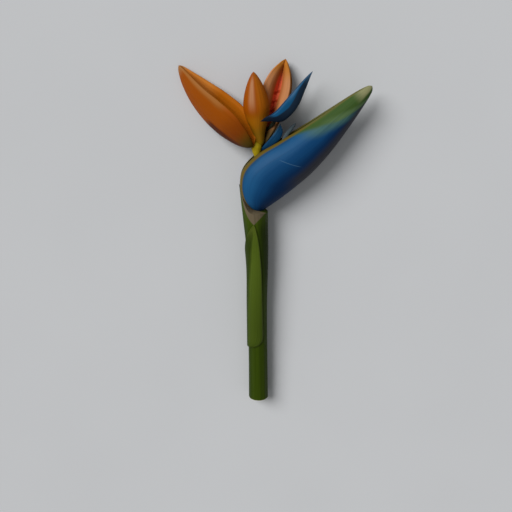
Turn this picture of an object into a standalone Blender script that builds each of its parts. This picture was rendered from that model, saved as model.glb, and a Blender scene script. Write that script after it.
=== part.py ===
"""Bird of paradise flower, picked, lying on its side on a flat surface.

One flower head on its own stalk: a thick green stalk with one clasping sheath, a boat-shaped spathe
that points away from the stalk, and one open floret that stands in the spathe's slit, with three orange
sepals and the blue petals.

Every piece is laid out in the growing frame, as the flower stands on its plant: X to the right, Y away
from the viewer, Z up the stalk. LIE then turns the whole flower onto its back. Lengths in the tables are
millimetres, and MM makes them metres.
"""

import math

import bmesh
import bpy
from mathutils import Euler, Matrix, Vector

MM = 0.001
GAP = 0.3 * MM  # air left between pieces that touch
FILLED_GAP = 0.5 * MM  # the same round a filled cutter, whose facets don't match the piece's own

# ---- the lying pose: the spathe's far side, one sepal and the cut end carry the flower
REST_PITCH = 1.84  # degrees about X, after the stalk is laid along +Y
REST_ROLL = -2.23  # degrees about the stalk

# ---- stalk: x of its axis, z, radius, from the cut end to the cup under the spathe
STALK = [
    (2.7, -160.0, 10.3),
    (2.4, -125.0, 10.0),
    (1.9, -85.0, 9.8),
    (1.7, -48.0, 9.8),
    (2.0, -15.0, 10.2),
    (1.1, 12.0, 11.2),
    (-0.4, 34.0, 12.2),
    (-1.4, 47.0, 13.0),
]
CUP_FLARE = 2.6  # how far the cup's edge leans out behind the heel
CUP_LIFT = 27.0  # how much higher the cup's edge stands behind the heel than under the keel
CUP_DOME = 15.0  # height of the stalk's crown over the cup's edge, before the spathe is seated in it

# ---- clasping sheath: z, azimuth of its front margin and of its back margin, in degrees
SHEATH = [
    (43.0, -92.0, -92.0),
    (36.0, -87.0, -112.0),
    (20.0, -81.0, -150.0),
    (-8.0, -73.0, -205.0),
    (-40.0, -65.0, -255.0),
    (-70.0, -60.0, -285.0),
    (-88.0, -62.0, -292.0),
    (-96.0, -100.0, -250.0),
    (-99.0, -175.0, -175.0),
]
SHEATH_WALL = 1.2
SHEATH_SEAT = 0.6  # from the stalk's radius to the sheath's, so that their flat facets stay apart

# ---- folded pieces. Each row is one cross-section: the keel point and the rim point as distances along
# the piece and square to it, the half width, and how far the wall wraps round from the keel, in degrees.
SPATHE = [
    (-1.5, -3.5, -1.5, -3.5, 0.0, 120.0),
    (3.0, -5.5, -3.2, 6.0, 8.0, 125.0),
    (10.0, -6.3, -2.8, 18.0, 13.0, 142.0),
    (20.0, -7.0, 3.8, 31.0, 16.6, 156.0),
    (33.0, -7.3, 16.0, 40.0, 18.2, 165.0),
    (46.0, -7.2, 36.0, 42.2, 18.7, 167.0),
    (64.0, -6.2, 60.0, 38.6, 18.7, 169.0),
    (90.0, -1.6, 90.0, 34.4, 15.3, 170.0),
    (118.0, 6.3, 118.0, 31.3, 10.5, 171.0),
    (141.0, 14.0, 141.0, 28.6, 6.0, 171.0),
    (153.0, 19.0, 153.0, 26.0, 3.0, 171.0),
    (156.5, 23.2, 156.5, 23.2, 0.0, 171.0),
]
SEPAL_LEFT = [
    (-1.0, -1.0, -1.0, -1.0, 0.0, 90.0),
    (3.0, -6.5, 3.0, 5.0, 5.0, 92.0),
    (12.0, -12.5, 12.0, 10.5, 9.0, 95.0),
    (30.0, -18.5, 30.0, 15.0, 11.4, 97.0),
    (50.0, -20.0, 50.0, 12.5, 11.4, 97.0),
    (70.0, -17.5, 70.0, 8.0, 9.2, 96.0),
    (87.0, -11.5, 87.0, 4.5, 5.6, 95.0),
    (98.0, -4.5, 98.0, 2.0, 2.4, 92.0),
    (101.5, 0.0, 101.5, 0.0, 0.0, 90.0),
]
SEPAL_MIDDLE = [
    (-3.0, 0.0, -3.0, 0.0, 0.0, 95.0),
    (2.0, -3.3, 2.0, 1.5, 3.2, 95.0),
    (12.0, -5.5, 12.0, 2.0, 5.0, 95.0),
    (24.0, -9.0, 24.0, 3.0, 10.2, 98.0),
    (35.0, -11.0, 35.0, 3.0, 12.3, 100.0),
    (47.0, -9.5, 47.0, 2.5, 10.5, 98.0),
    (58.0, -6.0, 58.0, 1.0, 6.5, 95.0),
    (65.0, -2.5, 65.0, 0.5, 2.5, 95.0),
    (67.5, 0.0, 67.5, 0.0, 0.0, 95.0),
]
SEPAL_RIGHT = [
    (-3.0, 0.0, -3.0, 0.0, 0.0, 85.0),
    (3.0, -4.0, 3.0, 1.5, 4.0, 88.0),
    (16.0, -7.0, 16.0, 3.0, 8.5, 92.0),
    (34.0, -9.0, 34.0, 5.0, 12.8, 98.0),
    (52.0, -9.5, 52.0, 5.5, 14.2, 100.0),
    (66.0, -7.5, 66.0, 4.0, 11.0, 95.0),
    (77.0, -3.5, 77.0, 2.0, 4.5, 90.0),
    (81.5, 0.0, 81.5, 0.0, 0.0, 90.0),
]
ARROW = [
    (0.0, 0.0, 0.0, 0.0, 0.0, 70.0),
    (7.0, -6.5, 7.0, -1.0, 2.4, 75.0),
    (16.0, -14.5, 16.0, -3.4, 4.6, 82.0),
    (33.0, -14.5, 33.0, -2.2, 4.8, 85.0),
    (50.0, -7.5, 50.0, -0.5, 3.2, 80.0),
    (62.0, -1.8, 62.0, 0.2, 1.3, 75.0),
    (66.0, 0.0, 66.0, 0.0, 0.0, 75.0),
]
NECTARY = [
    (0.0, 0.0, 0.0, 0.0, 0.0, 80.0),
    (5.0, -3.5, 5.0, 3.0, 1.8, 80.0),
    (14.0, -9.0, 14.0, 4.0, 2.2, 80.0),
    (24.0, -9.0, 24.0, 3.0, 2.0, 80.0),
    (32.0, -4.5, 32.0, 1.5, 1.5, 80.0),
    (35.5, 0.0, 35.5, 0.0, 0.0, 80.0),
]
WALLS = {"spathe": 2.2, "sepal": 2.4, "petal": 1.5}

# ---- round pieces: x, y, z and radius along the axis
FLORET_BASE = [
    (13.4, 0.0, 56.0, 3.0),
    (9.5, 0.0, 70.0, 3.3),
    (5.0, 0.0, 88.0, 3.2),
    (2.2, 0.0, 100.0, 3.2),
    (0.6, -0.5, 107.0, 5.4),
    (1.2, 0.0, 112.0, 5.2),
    (1.8, 0.0, 115.0, 3.6),
]
ARROW_CLAW = [
    (20.5, -9.5, 140.5, 2.0),
    (17.0, -3.0, 134.0, 1.8),
    (12.5, 5.0, 127.0, 1.7),
    (8.5, 11.5, 122.5, 1.6),
]
BUD_PETAL = [
    (37.5, 0.0, 132.5, 0.5),
    (34.0, 0.0, 128.5, 1.7),
    (27.5, 0.0, 119.0, 2.0),
    (22.5, 0.0, 104.0, 1.8),
    (20.0, 0.0, 86.0, 1.7),
    (20.0, 0.0, 70.0, 1.6),
    (20.9, 0.0, 59.2, 1.5),
]

# ---- how a folded piece stands: the place of its zero point, then the turn of its length from +X towards
# +Z, the lean of its length away from the viewer, and the roll of its opening about its length
STANCES = {
    "spathe": ((0.0, 0.0, 50.0), 39.0, 0.0, 0.0),
    "sepal_left": ((-2.8, -5.5, 112.0), 134.0, 11.0, 154.0),
    "sepal_middle": ((3.5, 0.0, 112.0), 95.0, 0.0, -90.0),
    "sepal_right": ((6.5, 4.5, 111.5), 74.8, 8.0, 90.0),
    "arrow_petals": ((3.7, -13.0, 136.0), 42.5, 9.0, 0.0),
    "nectary_petal": ((4.0, 0.0, 99.0), 62.0, 0.0, 0.0),
}

# ---- colours: base colour, roughness
FINISHES = {
    "flower_stalk": ((0.075, 0.165, 0.012), 0.45),
    "stalk_sheath": ((0.105, 0.200, 0.018), 0.45),
    "spathe": ((0.010, 0.075, 0.230), 0.35),
    "floret_base": ((0.420, 0.330, 0.010), 0.45),
    "sepal_left": ((0.560, 0.160, 0.006), 0.38),
    "sepal_middle": ((0.560, 0.160, 0.006), 0.38),
    "sepal_right": ((0.600, 0.230, 0.060), 0.38),
    "arrow_petals": ((0.012, 0.130, 0.360), 0.35),
    "nectary_petal": ((0.010, 0.110, 0.300), 0.35),
    "bud_petal": ((0.080, 0.200, 0.280), 0.40),
}


def smooth(rows, t):
    """The row at share t of the way along a table, on a Catmull-Rom curve through all of its rows."""
    last = len(rows) - 1
    place = min(max(t, 0.0), 1.0) * last
    k = min(int(place), last - 1)
    f = place - k
    before, here, after, beyond = (rows[min(max(k + d, 0), last)] for d in (-1, 0, 1, 2))
    found = []
    for a, b, c, d in zip(before, here, after, beyond):
        bend = (2 * a - 5 * b + 4 * c - d) * f * f + (3 * b - a - 3 * c + d) * f**3
        found.append(0.5 * (2 * b + (c - a) * f + bend))
    return found


def remapped_sphere(name, around, rings, place):
    """A closed mesh: a UV sphere whose vertices go where place(t, angle) says, t from pole to pole."""
    bm = bmesh.new()
    bmesh.ops.create_uvsphere(bm, u_segments=around, v_segments=rings, radius=1.0)
    for vert in bm.verts:
        t = math.acos(min(max(vert.co.z, -1.0), 1.0)) / math.pi
        angle = math.atan2(vert.co.y, vert.co.x)
        vert.co = place(t, angle)
    bmesh.ops.recalc_face_normals(bm, faces=bm.faces)
    if bm.calc_volume(signed=True) < 0:
        bmesh.ops.reverse_faces(bm, faces=bm.faces)
    mesh = bpy.data.meshes.new(name)
    bm.to_mesh(mesh)
    bm.free()
    mesh.shade_smooth()
    return mesh


def across_wall(angle):
    """Where a point of the sphere's equator lies on a wall: -1 to 1 from rim to rim, 1 outside to -1 inside."""
    even = 1.0 - 2.0 * abs(angle) / math.pi
    along = 0.45 * math.cos(angle) + 0.55 * even
    side = min(max(2.4 * math.sin(angle), -1.0), 1.0)
    return along, side


def folded_mesh(name, rows, wall, around, rings, solid=False):
    """A sheet folded up about its keel, or with solid=True all the space inside its outer face."""

    def place(t, angle):
        keel_a, keel_b, rim_a, rim_b, half, wrap = smooth(rows, t)
        half = max(half, 0.0)
        keel = Vector((keel_a, 0.0, keel_b))
        rise = Vector((rim_a, 0.0, rim_b)) - keel
        upward = rise.normalized() if rise.length > 0.01 else Vector((0.0, 0.0, 1.0))
        wrap = math.radians(wrap)
        height = rise.length / (1.0 - math.cos(wrap))
        here = wall * min(1.0, half / 5.0, rise.length / 5.0)
        if solid:
            phi, depth = angle, 0.0
        else:
            along, side = across_wall(angle)
            phi, depth = along * wrap, 0.5 * here * (side - 1.0)
        normal = Vector((height * math.sin(phi), -half * math.cos(phi)))
        normal = normal.normalized() if normal.length > 1e-6 else Vector((0.0, 0.0))
        across = half * math.sin(phi) + depth * normal.x
        up = height * (1.0 - math.cos(phi)) + depth * normal.y
        return (keel + upward * up + Vector((0.0, across, 0.0))) * MM

    return remapped_sphere(name, around, rings, place)


def tube_mesh(name, rows, around, rings, flat=1.0):
    """A round or flattened stem along a curve, with rounded ends. flat is its depth over its width."""

    def place(t, angle):
        x, y, z, radius = smooth(rows, t)
        back, ahead = smooth(rows, t - 0.02), smooth(rows, t + 0.02)
        tangent = (Vector(ahead[:3]) - Vector(back[:3])).normalized()
        side = tangent.cross(Vector((0.0, 1.0, 0.0))).normalized()
        depth = side.cross(tangent)
        end = math.sqrt(max(0.0, 1.0 - (2.0 * t - 1.0) ** 8))
        wide = radius * end
        return (Vector((x, y, z)) + side * wide * math.cos(angle) + depth * wide * flat * math.sin(angle)) * MM

    return remapped_sphere(name, around, rings, place)


def stalk_at(z, steps=60):
    """The x of the stalk's axis and its radius at height z, in millimetres."""
    curve = [smooth(STALK, k / steps) for k in range(steps + 1)]
    for low, high in zip(curve, curve[1:]):
        if z <= high[1]:
            break
    share = (z - low[1]) / (high[1] - low[1])
    return low[0] + (high[0] - low[0]) * share, low[2] + (high[2] - low[2]) * share


def stalk_mesh(name, around=24, rings=12):
    """The stalk: a cylinder drawn out along its axis, cut flat below, its upper edge rising behind the heel."""
    bm = bmesh.new()
    bmesh.ops.create_cone(bm, cap_ends=True, cap_tris=True, segments=around, radius1=1, radius2=1, depth=1)
    sides = [edge for edge in bm.edges if abs(edge.verts[0].co.z - edge.verts[1].co.z) > 0.5]
    bmesh.ops.subdivide_edges(bm, edges=sides, cuts=rings - 1, use_grid_fill=True)
    for vert in bm.verts:
        t = vert.co.z + 0.5
        x, z, radius = smooth(STALK, t)
        turned = Vector((vert.co.x, vert.co.y))
        behind_heel = max(0.0, -turned.x) ** 3
        if turned.length < 0.5:
            z += CUP_DOME * max(0.0, t)
        else:
            z += CUP_LIFT * behind_heel * max(0.0, t * 2.0 - 1.0) ** 4
            x -= CUP_FLARE * behind_heel * max(0.0, t * 2.0 - 1.0) ** 4
        vert.co = Vector((x + radius * turned.x, radius * turned.y, z)) * MM
    bmesh.ops.recalc_face_normals(bm, faces=bm.faces)
    mesh = bpy.data.meshes.new(name)
    bm.to_mesh(mesh)
    bm.free()
    mesh.shade_smooth()
    return mesh


def sheath_mesh(name, around=28, rings=20):
    """The sheath: a thin wall wrapped about the stalk, between its two margins, up to a point."""

    def place(t, angle):
        z, front, back = smooth(SHEATH, t)
        along, side = across_wall(angle)
        azimuth = math.radians(0.5 * (front + back) + 0.5 * (front - back) * along)
        x, radius = stalk_at(z)
        narrow = min(1.0, abs(front - back) / 30.0)
        radius += SHEATH_SEAT + 0.5 * SHEATH_WALL * narrow * (1.0 + side)
        return Vector((x + radius * math.cos(azimuth), radius * math.sin(azimuth), z)) * MM

    return remapped_sphere(name, around, rings, place)


def new_object(name, mesh, collection, parent):
    """An object that shows a mesh, in a collection and under the empty that lays the flower down."""
    made = bpy.data.objects.new(name, mesh)
    collection.objects.link(made)
    made.parent = parent
    return made


def stand(made, stance):
    """Places a folded piece: its zero point, its turn, its lean and its roll."""
    where, turn, lean, roll = stance
    turned = Matrix.Rotation(math.radians(-turn), 4, "Y")
    leaned = Matrix.Rotation(math.radians(lean), 4, "Z")
    rolled = Matrix.Rotation(math.radians(roll), 4, "X")
    made.matrix_basis = Matrix.Translation(Vector(where) * MM) @ turned @ leaned @ rolled


def dress(made, finish):
    """Gives an object a Principled material of its own."""
    colour, roughness = finish
    material = bpy.data.materials.new(made.name)
    material.use_nodes = True
    shader = material.node_tree.nodes["Principled BSDF"]
    shader.inputs["Base Color"].default_value = (*colour, 1.0)
    shader.inputs["Roughness"].default_value = roughness
    shader.inputs["Metallic"].default_value = 0.0
    made.data.materials.append(material)


def cut(piece, cutter):
    """Takes the cutter's space out of a piece."""
    modifier = piece.modifiers.new("clear of " + cutter.name, "BOOLEAN")
    modifier.operation = "DIFFERENCE"
    modifier.solver = "EXACT"
    modifier.object = cutter


def join(piece, addition):
    """Adds another mesh's space to a piece."""
    modifier = piece.modifiers.new("with " + addition.name, "BOOLEAN")
    modifier.operation = "UNION"
    modifier.solver = "EXACT"
    modifier.object = addition


def make_collection(name):
    """A new collection in the scene."""
    made = bpy.data.collections.new(name)
    bpy.context.scene.collection.children.link(made)
    return made


def rest_on_surface(lie, pieces):
    """Moves the flower so that the middle of its footprint is the origin and its lowest point is at z = 0."""
    bpy.context.view_layer.update()
    graph = bpy.context.evaluated_depsgraph_get()
    points = []
    for piece in pieces:
        shown = piece.evaluated_get(graph)
        points += [shown.matrix_world @ vert.co for vert in shown.data.vertices]
    low = Vector([min(point[axis] for point in points) for axis in range(3)])
    high = Vector([max(point[axis] for point in points) for axis in range(3)])
    lie.location -= Vector((0.5 * (low.x + high.x), 0.5 * (low.y + high.y), low.z))


def build():
    """Builds the flower."""
    for old in list(bpy.data.objects):
        bpy.data.objects.remove(old, do_unlink=True)
    flower = make_collection("bird_of_paradise_flower")
    cutters = make_collection("cutters")
    lie = bpy.data.objects.new("lie", None)
    flower.objects.link(lie)
    laid = Matrix.Rotation(math.radians(-90.0), 4, "X")
    tilt = Euler((math.radians(REST_PITCH), math.radians(REST_ROLL), 0.0)).to_matrix().to_4x4()
    lie.matrix_world = tilt @ laid

    folded = {
        "spathe": (SPATHE, WALLS["spathe"], 28, 24),
        "sepal_left": (SEPAL_LEFT, WALLS["sepal"], 20, 16),
        "sepal_middle": (SEPAL_MIDDLE, WALLS["sepal"], 20, 14),
        "sepal_right": (SEPAL_RIGHT, WALLS["sepal"], 20, 14),
        "arrow_petals": (ARROW, WALLS["petal"], 14, 12),
        "nectary_petal": (NECTARY, WALLS["petal"], 12, 10),
    }
    pieces = {}
    for name, (rows, wall, around, rings) in folded.items():
        made = new_object(name, folded_mesh(name, rows, wall, around, rings), flower, lie)
        stand(made, STANCES[name])
        pieces[name] = made
    round_meshes = {
        "flower_stalk": stalk_mesh("flower_stalk"),
        "stalk_sheath": sheath_mesh("stalk_sheath"),
        "floret_base": tube_mesh("floret_base", FLORET_BASE, 16, 14, flat=0.95),
        "bud_petal": tube_mesh("bud_petal", BUD_PETAL, 10, 16, flat=0.6),
    }
    for name, mesh in round_meshes.items():
        pieces[name] = new_object(name, mesh, flower, lie)
    for made in pieces.values():
        dress(made, FINISHES[made.name])

    def cutter(label, mesh, place, grow=0.0):
        """An object that only shapes other pieces, swollen by the gap where it takes space out of them."""
        made = new_object(label, mesh, cutters, lie)
        made.matrix_basis = place
        made.hide_render = True
        made.display_type = "WIRE"
        if grow:
            swell = made.modifiers.new("gap", "DISPLACE")
            swell.strength = grow
            swell.mid_level = 0.0
        return made

    def clearance(name):
        """The space that a piece and the gap about it take."""
        return cutter(name + "_clearance", pieces[name].data, pieces[name].matrix_basis, GAP)

    def filled(name):
        """A folded piece with the space inside it, and the gap about them."""
        rows, wall, around, rings = folded[name]
        mesh = folded_mesh(name + "_filled", rows, wall, around, rings, solid=True)
        return cutter(mesh.name, mesh, pieces[name].matrix_basis, FILLED_GAP)

    floret = clearance("floret_base")
    spathe = clearance("spathe")
    cuts = {
        "flower_stalk": (filled("spathe"),),
        "floret_base": (spathe,),
        "bud_petal": (spathe,),
        "nectary_petal": (floret,),
        "sepal_left": (floret, filled("sepal_middle")),
        "sepal_right": (floret,),
        "sepal_middle": (floret,),
        "arrow_petals": (clearance("sepal_right"),),
    }
    claw = tube_mesh("arrow_claw", ARROW_CLAW, 10, 10)
    join(pieces["arrow_petals"], cutter("arrow_claw", claw, Matrix.Identity(4)))
    for name, takers in cuts.items():
        for taker in takers:
            cut(pieces[name], taker)
    rest_on_surface(lie, pieces.values())


if __name__ == "__main__":
    build()
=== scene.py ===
"""The looks of a picked bird of paradise flower that lies on a pale surface.

The flower is laid out in its growing frame, in millimetres: X to the right, Y away from the viewer and Z up
the stalk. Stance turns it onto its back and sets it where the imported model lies.
"""

import logging
import math
from dataclasses import dataclass
from enum import Enum
from typing import Any, Callable, Optional, Sequence

import bmesh
import bpy
from mathutils import Euler, Matrix, Vector, noise

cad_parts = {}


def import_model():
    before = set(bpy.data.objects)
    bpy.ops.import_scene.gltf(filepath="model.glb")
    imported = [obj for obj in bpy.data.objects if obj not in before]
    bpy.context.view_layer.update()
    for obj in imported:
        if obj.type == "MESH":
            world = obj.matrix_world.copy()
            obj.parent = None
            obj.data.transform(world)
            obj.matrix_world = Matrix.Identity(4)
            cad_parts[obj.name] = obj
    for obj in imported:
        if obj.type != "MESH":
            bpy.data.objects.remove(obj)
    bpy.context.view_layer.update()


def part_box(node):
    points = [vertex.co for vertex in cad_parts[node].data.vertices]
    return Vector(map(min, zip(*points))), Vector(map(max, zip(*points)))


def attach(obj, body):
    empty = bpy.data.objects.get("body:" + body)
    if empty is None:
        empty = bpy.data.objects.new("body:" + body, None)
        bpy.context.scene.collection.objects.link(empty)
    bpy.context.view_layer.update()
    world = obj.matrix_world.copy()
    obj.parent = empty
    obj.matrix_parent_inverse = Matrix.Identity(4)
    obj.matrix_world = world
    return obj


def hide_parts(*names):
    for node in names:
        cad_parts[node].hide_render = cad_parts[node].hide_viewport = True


LOG = logging.getLogger("flower")
MM = 0.001
ROOT = "root"
GROOVE_SHARE = 0.62  # how much of a flared sheet's width its groove takes

Row = tuple[float, ...]
Colour = tuple[float, float, float]


# ---------------------------------------------------------------- shader maths


class Value:
    """A shader socket that can be used in Python expressions."""

    def __init__(self, graph: "Graph", socket: Any) -> None:
        """Wraps one output socket of a graph."""
        self.graph = graph
        self.socket = socket

    def _maths(self, operation: str, *values: Any) -> "Value":
        """A Math node on values."""
        made = self.graph.node("ShaderNodeMath", {"operation": operation}, dict(enumerate(values)))
        return Value(self.graph, made.outputs[0])

    def __add__(self, other: Any) -> "Value":
        """The sum."""
        return self._maths("ADD", self, other)

    def __radd__(self, other: Any) -> "Value":
        """The sum, with the number first."""
        return self._maths("ADD", other, self)

    def __sub__(self, other: Any) -> "Value":
        """The difference."""
        return self._maths("SUBTRACT", self, other)

    def __rsub__(self, other: Any) -> "Value":
        """The difference, with the number first."""
        return self._maths("SUBTRACT", other, self)

    def __mul__(self, other: Any) -> "Value":
        """The product."""
        return self._maths("MULTIPLY", self, other)

    def __rmul__(self, other: Any) -> "Value":
        """The product, with the number first."""
        return self._maths("MULTIPLY", other, self)

    def __abs__(self) -> "Value":
        """The size without its sign."""
        return self._maths("ABSOLUTE", self)

    def sine(self) -> "Value":
        """The sine, of radians."""
        return self._maths("SINE", self)

    def step(self, low: float, high: float) -> "Value":
        """A smooth step: 0 at low, 1 at high.

        Args:
            low: the value where the step starts.
            high: the value where it ends; it may be under low.

        Returns:
            The step, from 0 to 1.
        """
        flip = low > high
        ends = {1: min(low, high), 2: max(low, high), 3: float(flip), 4: float(not flip)}
        settings = {"interpolation_type": "SMOOTHSTEP"}
        made = self.graph.node("ShaderNodeMapRange", settings, {0: self, **ends})
        return Value(self.graph, made.outputs[0])


class Graph:
    """The nodes of one material."""

    def __init__(self, name: str) -> None:
        """Starts a material with a Principled shader.

        Args:
            name: the material's name.
        """
        self.material = bpy.data.materials.new(name)
        self.material.use_nodes = True
        self.tree = self.material.node_tree
        self.shader = self.tree.nodes["Principled BSDF"]

    def node(self, kind: str, settings: dict[str, Any], inputs: dict[Any, Any]) -> Any:
        """A node, its settings first and then its inputs.

        Args:
            kind: the node's type.
            settings: its properties.
            inputs: a value, or a Value to link, for each input by name or number.

        Returns:
            The node.
        """
        made = self.tree.nodes.new(kind)
        for key, value in settings.items():
            setattr(made, key, value)
        for key, value in inputs.items():
            self.feed(made.inputs[key], value)
        return made

    def feed(self, socket: Any, value: Any) -> None:
        """Links a Value to a socket, or sets the socket's own value."""
        if isinstance(value, Value):
            self.tree.links.new(value.socket, socket)
        elif isinstance(value, tuple) and len(value) == 3 and len(socket.default_value) == 4:
            socket.default_value = (*value, 1.0)
        else:
            socket.default_value = value

    def read(self, name: str) -> Value:
        """A number that the mesh carries at each point."""
        made = self.node("ShaderNodeAttribute", {"attribute_name": name}, {})
        return Value(self, made.outputs["Fac"])

    def place(self, stretch: Row = (1.0, 1.0, 1.0)) -> Value:
        """The point in the object's own coordinates, stretched along each axis."""
        where = self.node("ShaderNodeTexCoord", {}, {})
        inputs = {"Vector": Value(self, where.outputs["Object"]), "Scale": stretch}
        return Value(self, self.node("ShaderNodeMapping", {}, inputs).outputs[0])

    def noise(self, scale: float, detail: float = 3.0, vector: Optional[Value] = None) -> Value:
        """Cloudy noise about 0.5.

        Args:
            scale: how many clouds there are in a metre.
            detail: how many finer layers it has.
            vector: where it is read, or None for the object's coordinates.

        Returns:
            The noise.
        """
        inputs = {"Vector": vector or self.place(), "Scale": scale, "Detail": detail}
        return Value(self, self.node("ShaderNodeTexNoise", {}, inputs).outputs[0])

    def along_noise(self, along: float, across: float, detail: float = 3.0) -> Value:
        """Noise drawn out along the piece, as fibres and veins are.

        Args:
            along: clouds over the piece's length.
            across: clouds over its width.
            detail: how many finer layers it has.

        Returns:
            The noise.
        """
        parts = {0: self.read("along") * along, 1: self.read("across") * across, 2: self.read("wall")}
        where = Value(self, self.node("ShaderNodeCombineXYZ", {}, parts).outputs[0])
        return self.noise(1.0, detail, where)

    def blend(self, first: Any, second: Any, share: Any) -> Value:
        """One colour over another.

        Args:
            first: the colour under it.
            second: the colour over it.
            share: how much of the second shows.

        Returns:
            The blended colour.
        """
        made = self.node("ShaderNodeMix", {"data_type": "RGBA"}, {0: share, 6: first, 7: second})
        return Value(self, made.outputs[2])

    def bump(self, height: Value, distance: float, strength: float = 1.0) -> Value:
        """A normal that shows small heights, in metres where height is 1."""
        inputs = {"Height": height, "Distance": distance, "Strength": strength}
        return Value(self, self.node("ShaderNodeBump", {}, inputs).outputs[0])

    def finish(self, colour: Value, roughness: Any, normal: Value, coat: float = 0.0) -> bpy.types.Material:
        """Feeds the shader.

        Args:
            colour: the base colour.
            roughness: a number or a Value.
            normal: the normal.
            coat: the weight of the waxy coat.

        Returns:
            The material.
        """
        self.feed(self.shader.inputs["Base Color"], colour)
        self.feed(self.shader.inputs["Roughness"], roughness)
        self.feed(self.shader.inputs["Normal"], normal)
        self.shader.inputs["Coat Weight"].default_value = coat
        self.shader.inputs["Coat Roughness"].default_value = 0.3
        self.shader.inputs["Specular IOR Level"].default_value = 0.07
        return self.material


# ---------------------------------------------------------------- finishes


@dataclass(frozen=True)
class StalkFinish:
    """Waxy green skin with lengthwise fibres, painted shade round its right side and back partway up, and pale
    tan tissue in a V below the spathe.
    """

    name: str = "stalk_skin"
    green: Colour = (0.026, 0.048, 0.001)
    light: Colour = (0.060, 0.098, 0.004)
    dark: Colour = (0.012, 0.022, 0.002)
    tan: Colour = (0.150, 0.118, 0.070)
    cut: Colour = (0.300, 0.290, 0.110)
    front: float = -0.54

    def material(self) -> bpy.types.Material:
        """Makes the material."""
        graph = Graph(self.name)
        along = graph.read("along")
        across = graph.read("across")
        fibres = graph.along_noise(2.0, 26.0)
        patches = graph.noise(38.0)
        colour = graph.blend(self.green, self.light, (abs(across) + patches * 0.2).step(0.95, 0.72) * 0.3)
        # painted shade: the dark green laid round the right side and back of the stalk's upper middle
        colour = graph.blend(colour, self.dark, across.step(-0.46, -0.36) * along.step(0.40, 0.62) * 0.7)
        colour = graph.blend(colour, self.light, along.step(0.80, 0.95) * 0.6)
        colour = graph.blend(colour, self.dark, fibres.step(0.52, 0.80) * 0.35)
        colour = graph.blend(colour, self.light, fibres.step(0.46, 0.22) * 0.35)
        sides = abs(across - self.front)
        valley = along - 0.868 - sides * 0.36
        colour = graph.blend(colour, self.tan, (valley + (patches - 0.5) * 0.02).step(-0.004, 0.012))
        colour = graph.blend(colour, self.cut, along.step(0.004, 0.001))
        normal = graph.bump(fibres + patches * 0.5, 0.0007)
        return graph.finish(colour, 0.40 + 0.18 * patches, normal, 0.02)


@dataclass(frozen=True)
class SheathFinish:
    """The same green skin, with a lighter ridge down its front and a pale dry margin."""

    name: str = "sheath_skin"
    green: Colour = (0.030, 0.050, 0.003)
    light: Colour = (0.086, 0.130, 0.011)
    top: Colour = (0.120, 0.160, 0.018)
    margin: Colour = (0.120, 0.120, 0.030)
    low: Colour = (0.034, 0.058, 0.002)

    def material(self) -> bpy.types.Material:
        """Makes the material."""
        graph = Graph(self.name)
        along = graph.read("along")
        across = graph.read("across")
        fibres = graph.along_noise(2.0, 24.0)
        patches = graph.noise(36.0)
        ridge = (across + (patches - 0.5) * 0.25).step(0.02, 0.32)
        colour = graph.blend(self.green, self.light, ridge * (0.45 + 0.55 * along.step(0.50, 0.72)))
        colour = graph.blend(colour, self.top, (along + patches * 0.05).step(0.76, 0.86) * 0.8)
        colour = graph.blend(colour, self.low, along.step(0.46, 0.34) * 0.7)
        colour = graph.blend(colour, self.green, fibres.step(0.52, 0.78) * 0.40)
        colour = graph.blend(colour, self.margin, abs(across).step(0.975, 0.992) * 0.7)
        normal = graph.bump(fibres + patches * 0.5, 0.0007)
        return graph.finish(colour, 0.40 + 0.18 * patches, normal, 0.02)


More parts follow.
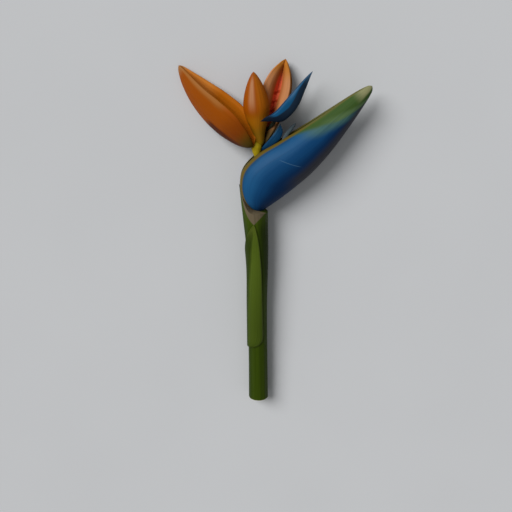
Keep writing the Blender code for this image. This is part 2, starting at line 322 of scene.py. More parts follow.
@dataclass(frozen=True)
class SpatheFinish:
    """Deep blue wax, darkened by painted shade to navy towards the keel and to plum under the keel near the heel,
    green and then cream towards the tip, with a yellow-brown rim.
    """

    name: str = "spathe_skin"
    navy: Colour = (0.003, 0.028, 0.095)
    middle: Colour = (0.005, 0.055, 0.160)
    blue: Colour = (0.011, 0.088, 0.218)
    shoulder: Colour = (0.008, 0.044, 0.105)
    plum: Colour = (0.042, 0.044, 0.060)
    teal: Colour = (0.058, 0.138, 0.122)
    green: Colour = (0.048, 0.096, 0.020)
    pale_green: Colour = (0.096, 0.165, 0.066)
    olive: Colour = (0.105, 0.122, 0.034)
    cream: Colour = (0.270, 0.268, 0.130)
    rim: Colour = (0.145, 0.098, 0.012)
    far_rim: Colour = (0.125, 0.120, 0.030)
    inside: Colour = (0.110, 0.120, 0.022)
    scratch: Colour = (0.090, 0.190, 0.300)

    def material(self) -> bpy.types.Material:
        """Makes the material."""
        graph = Graph(self.name)
        along = graph.read("along")
        across = graph.read("across")
        veins = graph.along_noise(2.5, 22.0)
        clouds = graph.noise(30.0)
        wander = (clouds - 0.5) * 0.14
        rise = abs(across) + wander
        # painted shade: navy along the keel side, lightening through middle blue to blue towards the rims
        colour = graph.blend(self.navy, self.middle, rise.step(0.38, 0.56))
        colour = graph.blend(colour, self.blue, rise.step(0.56, 0.74))
        colour = graph.blend(colour, self.shoulder, rise.step(0.80, 0.92) * along.step(0.52, 0.40))
        # painted shade: plum under the keel near the heel
        colour = graph.blend(colour, self.plum, rise.step(0.42, 0.26) * along.step(0.20, 0.36))
        past = along - 0.55
        over = rise - 0.80 + past + past * past * past * 4.4
        band = over.step(-0.24, -0.07) * along.step(0.46, 0.62) * along.step(0.88, 0.76)
        colour = graph.blend(colour, self.teal, band * 0.9)
        colour = graph.blend(colour, self.green, over.step(-0.05, 0.05))
        light_edge = over.step(-0.08, 0.0) * over.step(0.14, 0.02) * along.step(0.62, 0.74)
        colour = graph.blend(colour, self.pale_green, light_edge * 0.9)
        colour = graph.blend(colour, self.olive, rise.step(0.82, 0.93) * along.step(0.50, 0.68))
        tip = (along + wander * 0.3).step(0.86, 0.945) * rise.step(0.36, 0.52)
        colour = graph.blend(colour, self.cream, tip)
        edge = graph.blend(self.rim, self.far_rim, along.step(0.44, 0.62))
        colour = graph.blend(colour, edge, abs(across).step(0.86, 0.90) * along.step(0.99, 0.93))
        colour = graph.blend(colour, self.inside, graph.read("wall").step(0.1, -0.3))
        line = abs(along - 0.322 + (across + 0.655) * -0.26 - (across + 0.655) * (across + 0.655) * 0.12)
        mark = line.step(0.0035, 0.0005) * across.step(-0.68, -0.62) * across.step(-0.37, -0.46)
        colour = graph.blend(colour, self.scratch, mark * 0.55)
        colour = graph.blend(colour, self.navy, veins.step(0.54, 0.82) * 0.30)
        normal = graph.bump(veins * 0.6 + clouds * 0.4, 0.0008)
        return graph.finish(colour, 0.40 + 0.16 * clouds, normal, 0.02)


@dataclass(frozen=True)
class FoldedSepalFinish:
    """Satin orange with a painted highlight along its rims and at its tip, olive at the base, painted shade in
    red-brown along the keel, and painted shade in the groove inside.
    """

    name: str = "left_sepal_skin"
    orange: Colour = (0.345, 0.075, 0.001)
    ridge: Colour = (0.360, 0.128, 0.022)
    tip: Colour = (0.400, 0.185, 0.060)
    low: Colour = (0.225, 0.045, 0.001)
    olive: Colour = (0.105, 0.062, 0.003)
    keel: Colour = (0.100, 0.018, 0.002)
    inside: Colour = (0.480, 0.135, 0.004)
    pale_inside: Colour = (0.640, 0.225, 0.032)
    groove: Colour = (0.200, 0.075, 0.006)

    def material(self) -> bpy.types.Material:
        """Makes the material."""
        graph = Graph(self.name)
        along = graph.read("along")
        rise = abs(graph.read("across"))
        veins = graph.along_noise(2.2, 18.0)
        clouds = graph.noise(42.0)
        wander = (clouds - 0.5) * 0.12
        colour = graph.blend(self.orange, self.low, (along + wander).step(0.42, 0.16))
        # painted highlight: the ridge colour along the outer rims
        colour = graph.blend(colour, self.ridge, (rise + wander * 0.4).step(0.83, 0.95) * along.step(0.36, 0.52))
        colour = graph.blend(colour, self.olive, (along + wander).step(0.20, 0.02))
        # painted shade: the dark keel colour on the shadowed underside along the keel
        strip = (rise + wander * 0.5).step(0.52, 0.42) * along.step(0.04, 0.14) * along.step(0.50, 0.40)
        colour = graph.blend(colour, self.keel, strip)
        lining = graph.blend(self.inside, self.pale_inside, (along + wander).step(0.55, 0.72))
        # painted shade: the lining darkens towards the bottom of the fold
        lining = graph.blend(lining, self.groove, rise.step(0.42, 0.10) * 0.8)
        colour = graph.blend(colour, lining, graph.read("wall").step(0.2, -0.3))
        # painted highlight: the pale tip colour
        colour = graph.blend(colour, self.tip, along.step(0.90, 0.98) * 0.8)
        colour = graph.blend(colour, self.low, veins.step(0.54, 0.80) * 0.30)
        colour = graph.blend(colour, self.ridge, veins.step(0.44, 0.20) * 0.20)
        normal = graph.bump(veins * 0.7 + clouds * 0.3, 0.0007)
        return graph.finish(colour, 0.42 + 0.16 * clouds, normal, 0.02)


@dataclass(frozen=True)
class BudSepalFinish:
    """Satin orange with a painted highlight left of its middle, and an olive-yellow neck."""

    name: str = "middle_sepal_skin"
    orange: Colour = (0.350, 0.077, 0.001)
    right: Colour = (0.400, 0.108, 0.003)
    painted_highlight: Colour = (0.450, 0.195, 0.085)
    low: Colour = (0.380, 0.132, 0.003)
    neck: Colour = (0.270, 0.130, 0.005)
    foot: Colour = (0.330, 0.215, 0.005)
    vein: Colour = (0.230, 0.045, 0.001)

    def material(self) -> bpy.types.Material:
        """Makes the material."""
        graph = Graph(self.name)
        along = graph.read("along")
        across = graph.read("across")
        veins = graph.along_noise(2.2, 18.0)
        clouds = graph.noise(42.0)
        wander = (clouds - 0.5) * 0.12
        colour = graph.blend(self.orange, self.right, (across + wander).step(-0.05, 0.20))
        # painted highlight: a pale band left of the middle on the upper part
        light = abs(across + 0.20 + wander * 0.5).step(0.24, 0.04)
        colour = graph.blend(colour, self.painted_highlight, light * along.step(0.44, 0.68) * along.step(0.99, 0.86))
        colour = graph.blend(colour, self.low, (along + wander).step(0.52, 0.36))
        colour = graph.blend(colour, self.neck, (along + wander).step(0.36, 0.20))
        colour = graph.blend(colour, self.foot, along.step(0.14, 0.04))
        colour = graph.blend(colour, self.vein, veins.step(0.54, 0.80) * 0.28)
        normal = graph.bump(veins * 0.7 + clouds * 0.3, 0.0007)
        return graph.finish(colour, 0.42 + 0.16 * clouds, normal, 0.02)


@dataclass(frozen=True)
class OpenSepalFinish:
    """A sepal seen from inside: broad peach walls, and a salmon groove with darker bands across it; its outer
    face and the edge along its right rim are dark with painted shade.
    """

    name: str = "open_sepal_skin"
    outer: Colour = (0.120, 0.038, 0.003)
    peach: Colour = (0.540, 0.225, 0.088)
    top: Colour = (0.500, 0.180, 0.022)
    shade: Colour = (0.420, 0.120, 0.020)
    salmon: Colour = (0.720, 0.130, 0.055)
    band: Colour = (0.420, 0.045, 0.012)
    olive: Colour = (0.095, 0.062, 0.018)

    def material(self) -> bpy.types.Material:
        """Makes the material."""
        graph = Graph(self.name)
        along = graph.read("along")
        across = graph.read("across")
        inner = graph.read("wall").step(0.3, -0.2)
        veins = graph.along_noise(2.4, 18.0)
        clouds = graph.noise(45.0)
        wander = (clouds - 0.5) * 0.16
        bands = (along * 62.0 + wander * 22.0 + across * 3.0).sine().step(0.30, 0.85)
        bands = bands * along.step(0.30, 0.40) * along.step(0.74, 0.62)
        groove = graph.blend(self.salmon, self.band, bands * 0.9)
        depth = (abs(across) + wander * 0.3).step(0.38, 0.28) * along.step(0.90, 0.74)
        lining = graph.blend(self.peach, self.top, (along + wander).step(0.74, 0.92))
        lining = graph.blend(lining, self.shade, (abs(across) + wander).step(0.56, 0.36) * 0.7)
        lining = graph.blend(lining, groove, depth)
        # painted shade: the dark outer colour laid along the right rim's edge of the inner face
        lining = graph.blend(lining, self.outer, (across * -1.0).step(0.80, 0.90) * along.step(0.97, 0.80))
        # painted shade: the outer face takes the dark outer colour
        colour = graph.blend(self.outer, lining, inner)
        colour = graph.blend(colour, self.olive, (along + wander).step(0.34, 0.16))
        colour = graph.blend(colour, self.shade, veins.step(0.54, 0.80) * 0.25)
        normal = graph.bump(veins * 0.6 + clouds * 0.4, 0.0007)
        return graph.finish(colour, 0.44 + 0.16 * clouds, normal, 0.02)


@dataclass(frozen=True)
class ArrowFinish:
    """Satin blue on the upper face of the arrow, painted shade in navy below its crease and on its inner face,
    pale at its point.
    """

    name: str = "petal_skin"
    blue: Colour = (0.008, 0.092, 0.215)
    light: Colour = (0.060, 0.155, 0.280)
    navy: Colour = (0.006, 0.014, 0.030)
    low_navy: Colour = (0.014, 0.030, 0.056)
    crease: float = 0.70
    crease_curve: float = 0.42

    def material(self) -> bpy.types.Material:
        """Makes the material."""
        graph = Graph(self.name)
        along = graph.read("along")
        rise = abs(graph.read("across"))
        veins = graph.along_noise(2.5, 16.0)
        clouds = graph.noise(60.0)
        # painted shade: navy for the face below the crease, turned from the light
        under = graph.blend(self.navy, self.low_navy, along.step(0.16, 0.42))
        edge = rise - self.crease - abs(along - self.crease_curve) * 0.55 + (clouds - 0.5) * 0.06
        colour = graph.blend(under, self.blue, edge.step(-0.04, 0.03) * along.step(0.12, 0.22))
        colour = graph.blend(colour, self.light, edge.step(0.02, 0.14) * along.step(0.44, 0.66) * 0.9)
        colour = graph.blend(colour, self.light, along.step(0.78, 0.96) * 0.8)
        # painted shade: the inner face also takes the navy
        colour = graph.blend(colour, under, graph.read("wall").step(0.1, -0.3) * 0.7)
        colour = graph.blend(colour, self.navy, veins.step(0.54, 0.80) * 0.30)
        normal = graph.bump(veins * 0.7 + clouds * 0.3, 0.0005)
        return graph.finish(colour, 0.38 + 0.18 * clouds, normal, 0.02)


@dataclass(frozen=True)
class PetalFinish:
    """Satin blue with darker veins and a paler point."""

    name: str = "small_petal_skin"
    blue: Colour = (0.006, 0.056, 0.140)
    light: Colour = (0.030, 0.110, 0.200)
    dark: Colour = (0.004, 0.030, 0.078)

    def material(self) -> bpy.types.Material:
        """Makes the material."""
        graph = Graph(self.name)
        along = graph.read("along")
        veins = graph.along_noise(2.5, 16.0)
        clouds = graph.noise(60.0)
        colour = graph.blend(self.blue, self.dark, clouds.step(0.50, 0.80) * 0.6)
        colour = graph.blend(colour, self.light, veins.step(0.48, 0.24) * 0.5)
        colour = graph.blend(colour, self.light, abs(graph.read("across")).step(0.90, 1.0) * along.step(0.5, 0.7))
        colour = graph.blend(colour, self.light, along.step(0.80, 1.0) * 0.5)
        normal = graph.bump(veins * 0.7 + clouds * 0.3, 0.0005)
        return graph.finish(colour, 0.38 + 0.18 * clouds, normal, 0.02)


@dataclass(frozen=True)
class FloretFinish:
    """Yellow, satin, and olive where it goes down into the spathe."""

    name: str = "floret_skin"
    yellow: Colour = (0.420, 0.310, 0.008)
    shade: Colour = (0.270, 0.190, 0.004)
    olive: Colour = (0.130, 0.115, 0.006)

    def material(self) -> bpy.types.Material:
        """Makes the material."""
        graph = Graph(self.name)
        fibres = graph.along_noise(3.0, 12.0)
        clouds = graph.noise(80.0)
        colour = graph.blend(self.yellow, self.shade, clouds.step(0.42, 0.75) * 0.7)
        colour = graph.blend(colour, self.olive, graph.read("along").step(0.60, 0.40))
        normal = graph.bump(fibres * 0.7 + clouds * 0.3, 0.0006)
        return graph.finish(colour, 0.42 + 0.16 * clouds, normal, 0.02)


@dataclass(frozen=True)
class SurfaceFinish:
    """The plain pale surface under the flower."""

    name: str = "pale_surface"
    pale: Colour = (0.700, 0.708, 0.722)
    shade: Colour = (0.688, 0.696, 0.710)

    def material(self) -> bpy.types.Material:
        """Makes the material."""
        graph = Graph(self.name)
        clouds = graph.noise(6.0, 2.0)
        colour = graph.blend(self.pale, self.shade, clouds.step(0.3, 0.7))
        return graph.finish(colour, 0.8, graph.bump(graph.noise(900.0, 2.0), 0.00005))


# ---------------------------------------------------------------- shapes


def smooth(rows: Sequence[Row], t: float) -> list[float]:
    """The row at share t of the way along a table, on a Catmull-Rom curve through its rows.

    Args:
        rows: the table.
        t: the share, from 0 to 1.

    Returns:
        The row there.
    """
    last = len(rows) - 1
    place = min(max(t, 0.0), 1.0) * last
    k = min(int(place), last - 1)
    f = place - k
    before, here, after, beyond = (rows[min(max(k + d, 0), last)] for d in (-1, 0, 1, 2))
    found = []
    for a, b, c, d in zip(before, here, after, beyond):
        bend = (2 * a - 5 * b + 4 * c - d) * f * f + (3 * b - a - 3 * c + d) * f**3
        found.append(0.5 * (2 * b + (c - a) * f + bend))
    return found


@dataclass(frozen=True)
class Point:
    """A point of a piece's surface, in millimetres, with what its finish reads there."""

    where: Vector
    along: float
    across: float
    wall: float


def reshaped_sphere(name: str, around: int, rings: int, shape: Callable[[float, float], Point]) -> bpy.types.Mesh:
    """A closed mesh: a UV sphere whose vertices go where the shape says.

    Args:
        name: the mesh's name.
        around: its vertices round each ring.
        rings: its rings from pole to pole.
        shape: gives the point for a share from pole to pole and an angle round it.

    Returns:
        The mesh, which carries along, across and wall at each point.
    """
    bm = bmesh.new()
    bmesh.ops.create_uvsphere(bm, u_segments=around, v_segments=rings, radius=1.0)
    layers = {key: bm.verts.layers.float.new(key) for key in ("along", "across", "wall")}
    for vert in bm.verts:
        t = math.acos(min(max(vert.co.z, -1.0), 1.0)) / math.pi
        point = shape(t, math.atan2(vert.co.y, vert.co.x))
        vert.co = point.where * MM
        for key, layer in layers.items():
            vert[layer] = getattr(point, key)
    bmesh.ops.recalc_face_normals(bm, faces=bm.faces)
    if bm.calc_volume(signed=True) < 0:
        bmesh.ops.reverse_faces(bm, faces=bm.faces)
    mesh = bpy.data.meshes.new(name)
    bm.to_mesh(mesh)
    bm.free()
    mesh.shade_smooth()
    return mesh


def across_wall(angle: float, blunt: float = 5.0) -> tuple[float, float]:
    """Where a point round a ring lies on a wall.

    Args:
        angle: the angle round the ring.
        blunt: how square the rims are.

    Returns:
        The share from rim to rim, -1 to 1, and the side, 1 outside to -1 inside.
    """
    even = 1.0 - 2.0 * abs(angle) / math.pi
    along = 0.45 * math.cos(angle) + 0.55 * even
    return along, min(max(blunt * math.sin(angle), -1.0), 1.0)


@dataclass
class FoldedPiece:
    """A sheet folded up about its keel: a spathe, a sepal or a petal.

    Each row is a cross-section: the keel point and the rim point as distances along the piece and square
    to it, the half width, and how far the wall wraps round from the keel, in degrees.
    """

    name: str
    rows: Sequence[Row]
    wall: float
    where: Row
    turn: float
    lean: float
    roll: float
    flare: float = 0.0
    around: int = 96
    rings: int = 120

    def _section(self, half: float, rise: float, bend: float, share: float) -> Vector:
        """The outer face's section at a share from rim to rim: round, or a groove between two flat rims."""
        phi = share * bend
        curved = Vector((half * math.sin(phi), rise * (1.0 - math.cos(phi)) / (1.0 - math.cos(bend))))
        climb = min(abs(share) / GROOVE_SHARE, 1.0)
        flared = Vector((half * share, rise * climb * climb * (3.0 - 2.0 * climb)))
        return curved.lerp(flared, self.flare)

    def _shape(self, t: float, angle: float) -> Point:
        """The point of the sheet at a share of its length and an angle round its section."""
        keel_a, keel_b, rim_a, rim_b, half, wrap = smooth(self.rows, t)
        keel = Vector((keel_a, 0.0, keel_b))
        rise = Vector((rim_a, 0.0, rim_b)) - keel
        upward = rise.normalized() if rise.length > 0.01 else Vector((0.0, 0.0, 1.0))
        size = (max(half, 0.0), rise.length, math.radians(wrap))
        share, side = across_wall(angle)
        here = self._section(*size, share)
        slope = self._section(*size, share + 0.01) - self._section(*size, share - 0.01)
        normal = Vector((slope.y, -slope.x)).normalized() if slope.length > 1e-6 else Vector((0.0, 0.0))
        full = min(1.0, size[0] / 5.0, size[1] / 5.0)
        here += normal * (0.5 * self.wall * full * (side - 1.0))
        point = keel + upward * here.y + Vector((0.0, here.x, 0.0))
        first, last = self.rows[0][0], self.rows[-1][0]
        return Point(point, (point.x - first) / (last - first), share, side)

    def mesh(self) -> bpy.types.Mesh:
        """Makes the sheet, in the growing frame."""
        made = reshaped_sphere(self.name, self.around, self.rings, self._shape)
        turned = Matrix.Rotation(math.radians(-self.turn), 4, "Y")
        leaned = Matrix.Rotation(math.radians(self.lean), 4, "Z")
        rolled = Matrix.Rotation(math.radians(self.roll), 4, "X")
        made.transform(Matrix.Translation(Vector(self.where) * MM) @ turned @ leaned @ rolled)
        return made


@dataclass
class RoundPiece:
    """A round or flattened stem along a curve, with rounded ends: x, y, z and radius along its axis."""

    name: str
    rows: Sequence[Row]
    flat: float
    around: int = 40
    rings: int = 80

    def _shape(self, t: float, angle: float) -> Point:
        """The point of the stem at a share of its length and an angle round it."""
        x, y, z, radius = smooth(self.rows, t)
        back, ahead = smooth(self.rows, t - 0.02), smooth(self.rows, t + 0.02)
        tangent = (Vector(ahead[:3]) - Vector(back[:3])).normalized()
        side = tangent.cross(Vector((0.0, 1.0, 0.0))).normalized()
        depth = side.cross(tangent)
        wide = radius * math.sqrt(max(0.0, 1.0 - (2.0 * t - 1.0) ** 8))
        place = Vector((x, y, z)) + side * wide * math.cos(angle) + depth * wide * self.flat * math.sin(angle)
        return Point(place, t, angle / math.pi, 1.0)

    def mesh(self) -> bpy.types.Mesh:
        """Makes the stem, in the growing frame."""
        return reshaped_sphere(self.name, self.around, self.rings, self._shape)


@dataclass
class Stalk:
    """The stalk: x of its axis, z and radius from the cut end up to the cup under the spathe."""

    rows: Sequence[Row] = (
        (2.7, -160.0, 10.3),
        (2.4, -125.0, 10.0),
        (1.9, -85.0, 9.8),
        (1.7, -48.0, 9.8),
        (2.0, -15.0, 10.2),
        (1.1, 12.0, 11.2),
        (-0.4, 34.0, 12.2),
        (-1.4, 47.0, 13.0),
    )
    cup_flare: float = 2.0
    cup_lift: float = 27.0
    cup_dome: float = 4.0
    ripple: float = 0.18
    around: int = 72
    rings: int = 120

    def at(self, z: float) -> tuple[float, float]:
        """The x of the axis and the radius at height z."""
        curve = [smooth(self.rows, k / 60) for k in range(61)]
        low, high = next(((a, b) for a, b in zip(curve, curve[1:]) if z <= b[1]), (curve[-2], curve[-1]))
        share = (z - low[1]) / (high[1] - low[1])
        return low[0] + (high[0] - low[0]) * share, low[2] + (high[2] - low[2]) * share

    def mesh(self) -> bpy.types.Mesh:
        """Makes the stalk from a cylinder, in the growing frame."""
        bm = bmesh.new()
        sizes = {"segments": self.around, "radius1": 1.0, "radius2": 1.0, "depth": 1.0}
        bmesh.ops.create_cone(bm, cap_ends=True, cap_tris=True, **sizes)
        sides = [edge for edge in bm.edges if abs(edge.verts[0].co.z - edge.verts[1].co.z) > 0.5]
        bmesh.ops.subdivide_edges(bm, edges=sides, cuts=self.rings - 1, use_grid_fill=True)
        layers = {key: bm.verts.layers.float.new(key) for key in ("along", "across", "wall")}
        for vert in bm.verts:
            t = vert.co.z + 0.5
            x, z, radius = smooth(self.rows, t)
            turned = Vector((vert.co.x, vert.co.y))
            angle = math.atan2(turned.y, turned.x)
            raised = max(0.0, -turned.x) ** 3 * max(0.0, t * 2.0 - 1.0) ** 4
            if turned.length < 0.5:
                z += self.cup_dome * max(0.0, t)
            else:
                z += self.cup_lift * raised
                x -= self.cup_flare * raised
            radius -= self.ripple * (0.5 + 0.5 * math.cos(11.0 * angle + 3.0 * t))
            vert[layers["along"]] = t
            vert[layers["across"]] = angle / math.pi
            vert[layers["wall"]] = 1.0
            vert.co = Vector((x + radius * turned.x, radius * turned.y, z)) * MM
        bmesh.ops.recalc_face_normals(bm, faces=bm.faces)
        made = bpy.data.meshes.new("stalk")
        bm.to_mesh(made)
        bm.free()
        made.shade_smooth()
        made.set_sharp_from_angle(angle=math.radians(50.0))
        return made


@dataclass
class Sheath:
    """The sheath that clasps the stalk: z, and the azimuths of its front and back margins in degrees."""

    stalk: Stalk
    rows: Sequence[Row] = (
        (37.0, -97.0, -97.0),
        (31.0, -89.0, -116.0),
        (18.0, -81.0, -152.0),
        (-8.0, -73.0, -205.0),
        (-40.0, -65.0, -255.0),
        (-70.0, -60.0, -285.0),
        (-88.0, -62.0, -292.0),
        (-96.0, -100.0, -250.0),
        (-99.0, -175.0, -175.0),
    )
    wall: float = 1.2
    seat: float = 0.35

    def _shape(self, t: float, angle: float) -> Point:
        """The point of the sheath at a share of its length and an angle round its section."""
        z, front, back = smooth(self.rows, t)
        share, side = across_wall(angle)
        azimuth = math.radians(0.5 * (front + back) + 0.5 * (front - back) * share)
        x, radius = self.stalk.at(z)
        narrow = min(1.0, abs(front - back) / 30.0)
        radius += self.seat + 0.5 * self.wall * narrow * (1.0 + side)
        place = Vector((x + radius * math.cos(azimuth), radius * math.sin(azimuth), z))
        return Point(place, 0.3 + 0.6 * (1.0 - t), share, side)

    def mesh(self) -> bpy.types.Mesh:
        """Makes the sheath, in the growing frame."""
        return reshaped_sphere("sheath", 96, 120, self._shape)


# ---------------------------------------------------------------- the flower


class Slot(Enum):
    """The record's material slots."""

    STALK = "stalk_green"
    SHEATH = "sheath_green"
    SPATHE = "spathe_blue"
    FLORET = "floret_yellow"
    SEPAL = "sepal_orange"
    OPEN_SEPAL = "sepal_open"
    PETAL = "petal_blue"
    PALE_PETAL = "petal_pale"


@dataclass
class Stance:
    """How the flower lies: the turns from its growing frame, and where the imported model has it."""

    pitch: float = 1.84
    roll: float = -2.23
    shift: Vector = Vector((0.0, 0.0, 0.0))

    def matrix(self) -> Matrix:
        """The growing frame's place in the world."""
        laid = Matrix.Rotation(math.radians(-90.0), 4, "X")
        tilt = Euler((math.radians(self.pitch), math.radians(self.roll), 0.0)).to_matrix().to_4x4()
        return Matrix.Translation(self.shift) @ tilt @ laid

    def settle(self, mesh: bpy.types.Mesh, node: str) -> None:
        """Finds the shift that puts a mesh where its node lies.

        Args:
            mesh: a mesh in the growing frame.
            node: the CAD node that it stands for.
        """
        low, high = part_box(node)
        points = [self.matrix() @ vert.co for vert in mesh.vertices]
        middle = [0.5 * (min(p[k] for p in points) + max(p[k] for p in points)) for k in range(3)]
        self.shift += 0.5 * (low + high) - Vector(middle)


@dataclass
class FlowerHead:
    """The spathe and the open floret: the base, the three sepals and the blue petals."""

    spathe_rows: Sequence[Row] = (
        (-1.5, -3.5, -1.5, -3.5, 0.0, 120.0),
        (3.0, -5.5, -3.2, 6.0, 8.0, 125.0),
        (10.0, -6.3, -2.8, 18.0, 13.0, 142.0),
        (20.0, -7.0, 3.8, 31.0, 16.6, 156.0),
        (33.0, -7.3, 16.0, 40.0, 18.2, 165.0),
        (46.0, -7.2, 36.0, 42.2, 18.7, 167.0),
        (64.0, -6.2, 60.0, 38.6, 18.7, 169.0),
        (90.0, -1.6, 90.0, 34.4, 15.3, 170.0),
        (118.0, 6.3, 118.0, 31.3, 10.5, 171.0),
        (141.0, 14.0, 141.0, 28.6, 6.0, 171.0),
        (153.0, 19.0, 153.0, 26.0, 3.0, 171.0),
        (156.5, 23.2, 156.5, 23.2, 0.0, 171.0),
    )
    left_rows: Sequence[Row] = (
        (-1.0, -1.0, -1.0, -1.0, 0.0, 90.0),
        (3.0, -6.5, 3.0, 5.0, 5.0, 92.0),
        (12.0, -12.5, 12.0, 10.5, 9.0, 95.0),
        (30.0, -18.5, 30.0, 15.0, 11.4, 97.0),
        (50.0, -20.0, 50.0, 12.5, 11.4, 97.0),
        (70.0, -17.5, 70.0, 8.0, 9.2, 96.0),
        (87.0, -11.5, 87.0, 4.5, 5.6, 95.0),
        (98.0, -4.5, 98.0, 2.0, 2.4, 92.0),
        (101.5, 0.0, 101.5, 0.0, 0.0, 90.0),
    )
    middle_rows: Sequence[Row] = (
        (-3.0, 0.0, -3.0, 0.0, 0.0, 95.0),
        (2.0, -3.6, 2.0, 1.5, 4.2, 95.0),
        (12.0, -5.8, 12.0, 2.0, 6.2, 95.0),
        (24.0, -9.0, 24.0, 3.0, 10.2, 98.0),
        (35.0, -11.0, 35.0, 3.0, 12.3, 100.0),
        (47.0, -9.5, 47.0, 2.5, 10.5, 98.0),
        (58.0, -6.0, 58.0, 1.0, 6.5, 95.0),
        (65.0, -2.5, 65.0, 0.5, 2.5, 95.0),
        (67.5, 0.0, 67.5, 0.0, 0.0, 95.0),
    )
    right_rows: Sequence[Row] = (
        (-3.0, 0.0, -3.0, 0.0, 0.0, 85.0),
        (3.0, -4.0, 3.0, 1.5, 4.0, 88.0),
        (16.0, -7.0, 16.0, 3.0, 8.5, 92.0),
        (34.0, -9.0, 34.0, 5.0, 12.8, 98.0),
        (52.0, -9.5, 52.0, 5.5, 14.2, 100.0),
        (66.0, -7.5, 66.0, 4.0, 11.0, 95.0),
        (77.0, -3.5, 77.0, 2.0, 4.5, 90.0),
        (81.5, 0.0, 81.5, 0.0, 0.0, 90.0),
    )
    arrow_rows: Sequence[Row] = (
        (0.0, 0.0, 0.0, 0.0, 0.0, 70.0),
        (7.0, -6.5, 7.0, -1.0, 2.4, 75.0),
        (16.0, -14.5, 16.0, -3.4, 4.6, 82.0),
        (33.0, -14.5, 33.0, -2.2, 4.8, 85.0),
        (50.0, -7.5, 50.0, -0.5, 3.2, 80.0),
        (62.0, -1.8, 62.0, 0.2, 1.3, 75.0),
        (66.0, 0.0, 66.0, 0.0, 0.0, 75.0),
    )
    nectary_rows: Sequence[Row] = (
        (0.0, 0.0, 0.0, 0.0, 0.0, 80.0),
        (4.0, -3.0, 4.0, 1.0, 1.8, 80.0),
        (11.0, -6.2, 11.0, 0.6, 2.2, 80.0),
        (20.0, -8.0, 20.0, -0.4, 2.0, 80.0),
        (27.5, -5.5, 27.5, -0.2, 1.5, 80.0),
        (31.5, 0.3, 31.5, 0.3, 0.0, 80.0),
    )
    base_rows: Sequence[Row] = (
        (13.4, 0.0, 56.0, 3.0),
        (9.5, 0.0, 70.0, 3.3),
        (5.0, 0.0, 88.0, 3.2),
        (2.0, 0.0, 100.0, 3.2),
        (0.6, -0.4, 106.5, 4.3),
        (0.6, -0.4, 111.0, 5.0),
        (1.6, 0.0, 115.5, 3.8),
    )
    claw_rows: Sequence[Row] = (
        (20.5, -9.5, 140.5, 2.0),
        (17.0, -3.0, 134.0, 1.8),
        (12.5, 5.0, 127.0, 1.7),
        (8.5, 11.5, 122.5, 1.6),
    )
    bud_rows: Sequence[Row] = (
        (37.5, 0.0, 132.5, 0.5),
        (34.0, 0.0, 128.5, 1.7),
        (27.5, 0.0, 119.0, 2.0),
        (22.5, 0.0, 104.0, 1.8),
        (20.0, 0.0, 86.0, 1.7),
        (20.0, 0.0, 70.0, 1.6),
        (20.9, 0.0, 59.2, 1.5),
    )

    def pieces(self) -> list[tuple[Any, Optional[str], Slot, Any]]:
        """The head's pieces.

        Returns:
            For each piece its shape, the CAD node that it stands for, its slot and its finish.
        """
        small = PetalFinish()
        claw = PetalFinish("claw_skin", (0.030, 0.034, 0.022), (0.050, 0.050, 0.030), (0.016, 0.020, 0.020))
        bud = PetalFinish("bud_skin", (0.075, 0.105, 0.120), (0.150, 0.180, 0.185), (0.028, 0.045, 0.060))
        spathe = ((0.0, 0.0, 50.0), 39.0, 0.0, 0.0)
        left = ((-2.8, -5.5, 112.0), 134.0, 11.0, 154.0)
        mid = ((3.5, 0.0, 112.0), 95.0, 0.0, -90.0)
        right = ((6.5, 4.5, 111.5), 74.8, 8.0, 83.0, 0.8)
        arrow = ((3.7, -13.0, 136.0), 42.5, 9.0, 0.0)
        nectary = ((4.5, 0.0, 106.0), 54.0, 0.0, 0.0)
        return [
            (FoldedPiece("spathe_shell", self.spathe_rows, 3.0, *spathe), "spathe", Slot.SPATHE, SpatheFinish()),
            (FoldedPiece("left_sepal", self.left_rows, 2.6, *left), "sepal_left", Slot.SEPAL,
             FoldedSepalFinish()),
            (FoldedPiece("middle_sepal", self.middle_rows, 2.4, *mid), "sepal_middle", Slot.SEPAL,
             BudSepalFinish()),
            (FoldedPiece("right_sepal", self.right_rows, 2.8, *right), "sepal_right", Slot.OPEN_SEPAL,
             OpenSepalFinish()),
            (FoldedPiece("blue_arrow", self.arrow_rows, 1.5, *arrow), "arrow_petals", Slot.PETAL,
             ArrowFinish()),
            (RoundPiece("blue_arrow_claw", self.claw_rows, 1.0), None, Slot.PETAL, claw),
            (FoldedPiece("small_petal", self.nectary_rows, 1.5, *nectary), "nectary_petal", Slot.PETAL, small),
            (RoundPiece("bud_blade", self.bud_rows, 0.6), "bud_petal", Slot.PALE_PETAL, bud),
            (RoundPiece("floret_neck", self.base_rows, 0.95), "floret_base", Slot.FLORET, FloretFinish()),
        ]


@dataclass
class Flower:
    """The whole flower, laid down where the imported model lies."""

    stalk: Stalk
    head: FlowerHead
    stance: Stance

    def _add(self, name: str, mesh: bpy.types.Mesh, node: Optional[str], finish: Any) -> None:
        """Lays one piece down, dresses it, hangs it on the root body and hides the CAD part that it stands for.
        """
        mesh.name = name
        mesh.transform(self.stance.matrix())
        mesh.materials.append(finish.material())
        piece = bpy.data.objects.new(name, mesh)
        bpy.context.scene.collection.objects.link(piece)
        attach(piece, ROOT)
        if node:
            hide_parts(node)
        LOG.info("%s: %d faces", name, len(mesh.polygons))

    def build(self) -> None:
        """Builds every piece."""
        pieces = [(shape, shape.mesh(), node, slot, finish) for shape, node, slot, finish in self.head.pieces()]
        self.stance.settle(pieces[0][1], "spathe")
        for shape, mesh, node, slot, finish in pieces:
            self._add(shape.name, mesh, node, finish)
        self._add("stalk", self.stalk.mesh(), "flower_stalk", StalkFinish())
        self._add("sheath", Sheath(self.stalk).mesh(), "stalk_sheath", SheathFinish())


# ---------------------------------------------------------------- the set


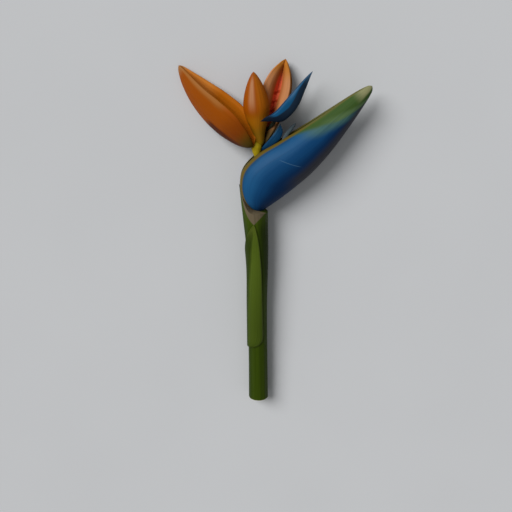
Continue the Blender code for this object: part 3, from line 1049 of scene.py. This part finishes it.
@dataclass
class Studio:
    """A plain pale surface, soft light and the camera."""

    stance: Stance
    distance: float = 711.111 * MM
    elevation: float = 20.0
    lens: float = 50.0
    sensor: float = 36.0
    surface_side: float = 6.0
    key_from: Row = (-0.55, 0.50, 0.67)
    key_power: float = 2.5
    key_spread: float = 35.0
    sky: float = 0.22

    def surface(self) -> None:
        """Lays the surface that the flower rests on."""
        bm = bmesh.new()
        bmesh.ops.create_grid(bm, x_segments=1, y_segments=1, size=0.5 * self.surface_side)
        mesh = bpy.data.meshes.new("surface")
        bm.to_mesh(mesh)
        bm.free()
        mesh.materials.append(SurfaceFinish().material())
        made = bpy.data.objects.new("surface", mesh)
        bpy.context.scene.collection.objects.link(made)

    def camera(self) -> None:
        """Sets the camera up in the growing frame, and turns it with the flower."""
        angle = math.radians(self.elevation)
        up = Vector((0.0, math.sin(angle), math.cos(angle)))
        back = Vector((0.0, -math.cos(angle), math.sin(angle)))
        place = Matrix((Vector((1.0, 0.0, 0.0)), up, back)).transposed().to_4x4()
        place.translation = back * self.distance
        data = bpy.data.cameras.new("camera")
        data.lens = self.lens
        data.sensor_width = self.sensor
        made = bpy.data.objects.new("camera", data)
        made.matrix_world = self.stance.matrix() @ place
        bpy.context.scene.collection.objects.link(made)
        bpy.context.scene.camera = made

    def sun(self, name: str, toward: Row, power: float, spread: float) -> None:
        """Hangs a far, wide and soft light.

        Args:
            name: its name.
            toward: where it stands, seen from the flower.
            power: its strength.
            spread: how wide it looks, in degrees.
        """
        data = bpy.data.lights.new(name, "SUN")
        data.energy = power
        data.angle = math.radians(spread)
        made = bpy.data.objects.new(name, data)
        made.rotation_euler = Vector(toward).to_track_quat("Z", "Y").to_euler()
        bpy.context.scene.collection.objects.link(made)

    def lights(self) -> None:
        """Lights the set: a broad key from the upper left and an even sky."""
        self.sun("key", self.key_from, self.key_power, self.key_spread)
        world = bpy.data.worlds.new("sky")
        world.use_nodes = True
        world.node_tree.nodes["Background"].inputs["Color"].default_value = (0.97, 0.99, 1.0, 1.0)
        world.node_tree.nodes["Background"].inputs["Strength"].default_value = self.sky
        bpy.context.scene.world = world


def main() -> None:
    """Builds the flower and its set."""
    logging.basicConfig(level=logging.INFO, format="%(name)s: %(message)s")
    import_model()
    stance = Stance()
    Flower(Stalk(), FlowerHead(), stance).build()
    studio = Studio(stance)
    studio.surface()
    studio.camera()
    studio.lights()
    bpy.context.scene.view_settings.view_transform = "Standard"


if __name__ == "__main__":
    main()
